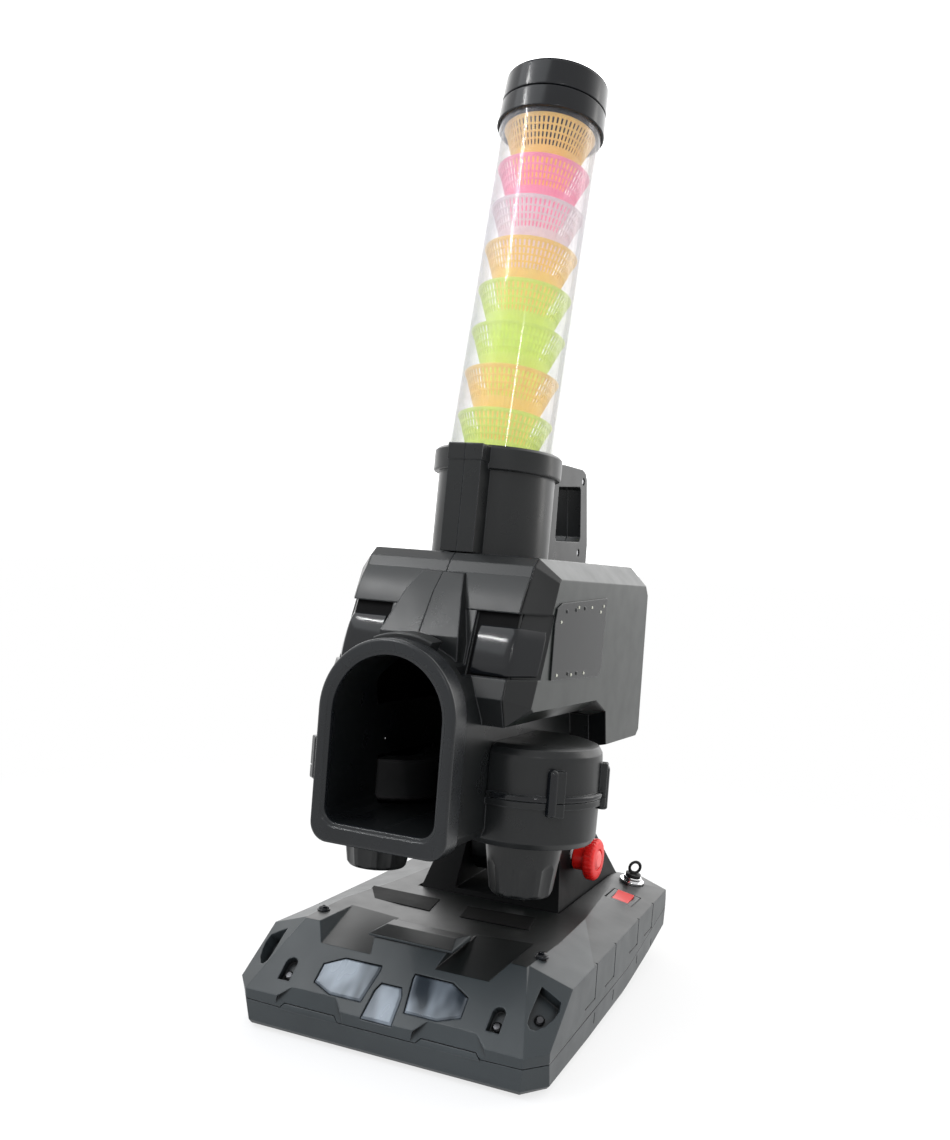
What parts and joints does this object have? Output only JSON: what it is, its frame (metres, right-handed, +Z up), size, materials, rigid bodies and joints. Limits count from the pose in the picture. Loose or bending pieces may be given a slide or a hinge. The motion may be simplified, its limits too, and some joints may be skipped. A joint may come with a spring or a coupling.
{
  "type": "batting practice shuttle machine",
  "caption": "Desk-top shuttlecock thrower for batting practice: a tilting head with an arched muzzle between wheel pods, fed from a slanted clear tube of nested shuttles.",
  "frame": {"origin": "centre of the footprint, on the surface the rubber feet stand on", "axes": "+Z up, -Y the side the muzzle faces, X across the base"},
  "size_m": [0.2256, 0.3337, 0.6942],
  "materials": {
    "body_black": "satin moulded",
    "cover_grey": "satin moulded",
    "gloss_black": "glossy",
    "tube_clear": "clear glossy",
    "lens_clear": "clear glossy",
    "red_plastic": "glossy",
    "pink_plastic": "satin",
    "steel": "zinc plated",
    "chrome": "polished",
    "rubber": "matte",
    "circuit_board": "solder mask",
    "battery_wrap": "shrink sleeve",
    "shuttle_amber": "translucent moulded",
    "shuttle_rose": "translucent moulded",
    "shuttle_blush": "translucent moulded",
    "shuttle_orange": "translucent moulded",
    "shuttle_lime": "translucent moulded"
  },
  "bodies": {
    "base": {"base_tray": "body_black", "base_cover": "body_black", "stand_tower": "body_black", "lens_left": "lens_clear", "lens_centre": "lens_clear", "lens_right": "lens_clear", "lamp_board": "circuit_board", "control_board": "circuit_board", "battery_box": "body_black", "battery_pack": "battery_wrap", "battery_door": "body_black", "foot_1": "rubber", "foot_2": "rubber", "foot_3": "rubber", "foot_4": "rubber", "switch_bezel": "body_black", "panel_connector": "chrome", "base_screw_1": "steel", "base_screw_2": "steel", "base_screw_3": "steel", "base_screw_4": "steel", "tilt_shaft": "steel", "friction_washer": "rubber"},
    "head": {"shell_left": "body_black", "shell_right": "body_black", "side_cover_left": "cover_grey", "side_cover_right": "cover_grey", "visor_left": "gloss_black", "visor_right": "gloss_black", "label_plate": "gloss_black", "pod_cover_left": "body_black", "pod_cover_right": "body_black", "motor_cap_left": "body_black", "motor_cap_right": "body_black", "motor_left": "steel", "motor_right": "steel", "feed_motor": "steel", "handle_screw_1": "steel", "handle_screw_2": "steel"},
    "wheel_left": {"wheel_hub_left": "cover_grey", "wheel_tyre_left": "rubber"},
    "wheel_right": {"wheel_hub_right": "cover_grey", "wheel_tyre_right": "rubber"},
    "gate": {"drop_gate": "body_black"},
    "pusher": {"feed_arm": "cover_grey"},
    "shuttles": {"shuttle_1": "shuttle_lime", "shuttle_2": "shuttle_lime", "shuttle_3": "shuttle_orange", "shuttle_4": "shuttle_lime", "shuttle_5": "shuttle_lime", "shuttle_6": "shuttle_orange", "shuttle_7": "shuttle_blush", "shuttle_8": "shuttle_rose", "shuttle_9": "shuttle_amber"},
    "feed_tube": {"tube": "tube_clear"},
    "cap": {"tube_cap": "gloss_black"},
    "rocker": {"power_rocker": "red_plastic"},
    "plug": {"connector_plug": "rubber"},
    "knob": {"clamp_knob": "red_plastic", "knob_insert": "pink_plastic"}
  },
  "joints": [
    {"name": "head_tilt", "type": "hinge", "parent": "base", "child": "head", "pos_m": [0, 0.06285, 0.091], "axis": [-1, 0, 0], "range_deg": [-7, 22]},
    {"name": "clamp_knob_turn", "type": "hinge", "parent": "base", "child": "knob", "pos_m": [0, 0.06285, 0.091], "axis": [1, 0, 0], "range_deg": [0, 180]},
    {"name": "wheel_left_spin", "type": "hinge", "parent": "head", "child": "wheel_left", "pos_m": [-0.056, -0.05622, 0.16533], "axis": [0, 0.0523, 0.9986], "continuous": true},
    {"name": "wheel_right_spin", "type": "hinge", "parent": "head", "child": "wheel_right", "pos_m": [0.056, -0.05622, 0.16533], "axis": [0, 0.0523, 0.9986], "continuous": true},
    {"name": "gate_drop", "type": "hinge", "parent": "head", "child": "gate", "pos_m": [0, 0.01955, 0.29667], "axis": [1, 0, 0], "range_deg": [0, 75]},
    {"name": "pusher_swing", "type": "hinge", "parent": "head", "child": "pusher", "pos_m": [0, 0.04195, 0.22728], "axis": [-1, 0, 0], "range_deg": [0, 40]},
    {"name": "stack_lift", "type": "slide", "parent": "head", "child": "shuttles", "axis": [0, 0.2416, 0.9704], "range_m": [0, 0.01]},
    {"name": "tube_lift", "type": "slide", "parent": "head", "child": "feed_tube", "axis": [0, 0.2416, 0.9704], "range_m": [0, 0.03]},
    {"name": "cap_lift", "type": "slide", "parent": "feed_tube", "child": "cap", "axis": [0, 0.2416, 0.9704], "range_m": [0, 0.06]},
    {"name": "rocker_tip", "type": "hinge", "parent": "base", "child": "rocker", "pos_m": [0.08381, 0.08985, 0.05539], "axis": [0.9843, 0, -0.1767], "range_deg": [-16, 0]},
    {"name": "plug_pull", "type": "slide", "parent": "base", "child": "plug", "axis": [0.1767, 0, 0.9843], "range_m": [0, 0.015]}
  ],
  "couplings": [
    {"joint": "wheel_right_spin", "follows": "wheel_left_spin", "ratio": -1}
  ]
}
